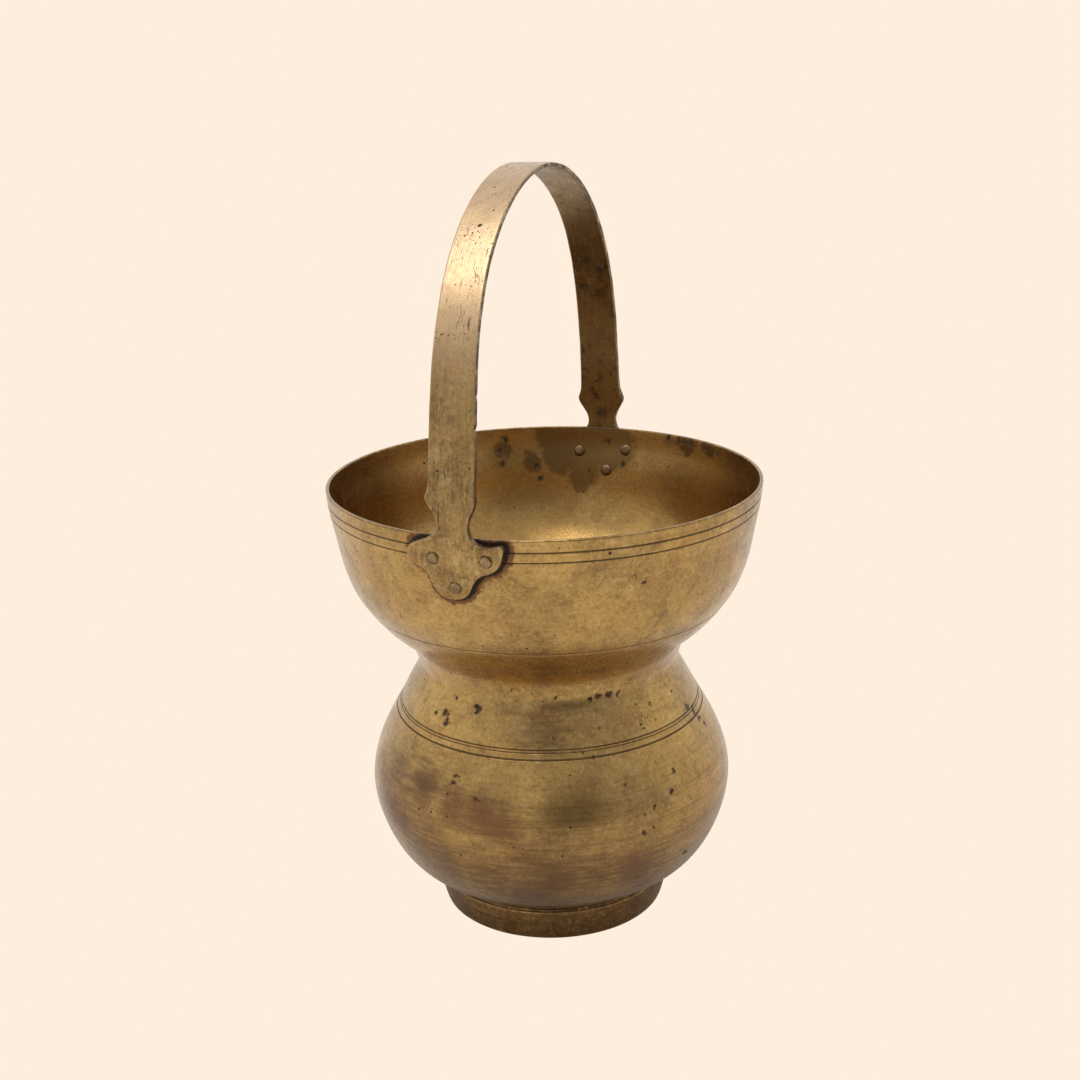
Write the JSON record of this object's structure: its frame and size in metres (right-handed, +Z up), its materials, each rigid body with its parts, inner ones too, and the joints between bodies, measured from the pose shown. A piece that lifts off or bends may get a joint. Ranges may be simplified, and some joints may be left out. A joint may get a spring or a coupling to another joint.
{
  "type": "hourglass pail",
  "caption": "Hourglass-shaped brass vessel with a flared open bowl, a round belly on a low foot ring and a fixed riveted strap handle.",
  "frame": {"origin": "centre of the foot ring's resting face", "axes": "+Z up along the vessel's turning axis; the handle's arch spans the bowl along Y, its tangs on the -Y (front) and +Y (back) sides"},
  "size_m": [0.18, 0.187, 0.3145],
  "materials": {
    "aged_brass": "old brass, worn satin with brown patina and black pits",
    "foot_brass": "dark brown patina with dirt along its top edge",
    "handle_brass": "forged, scratched along its length, edges rubbed bright",
    "braze": "dull dark braze",
    "rivet_brass": "peened, with dark rings of dirt"
  },
  "bodies": {
    "root": {"upper_bowl": "aged_brass", "lower_pot": "aged_brass", "foot_ring": "foot_brass", "handle_strap": "handle_brass", "waist_braze": "braze", "foot_braze": "braze", "rivet_front_left": "rivet_brass", "rivet_front_right": "rivet_brass", "rivet_front_lower": "rivet_brass", "rivet_back_left": "rivet_brass", "rivet_back_right": "rivet_brass", "rivet_back_lower": "rivet_brass"}
  },
  "joints": []
}
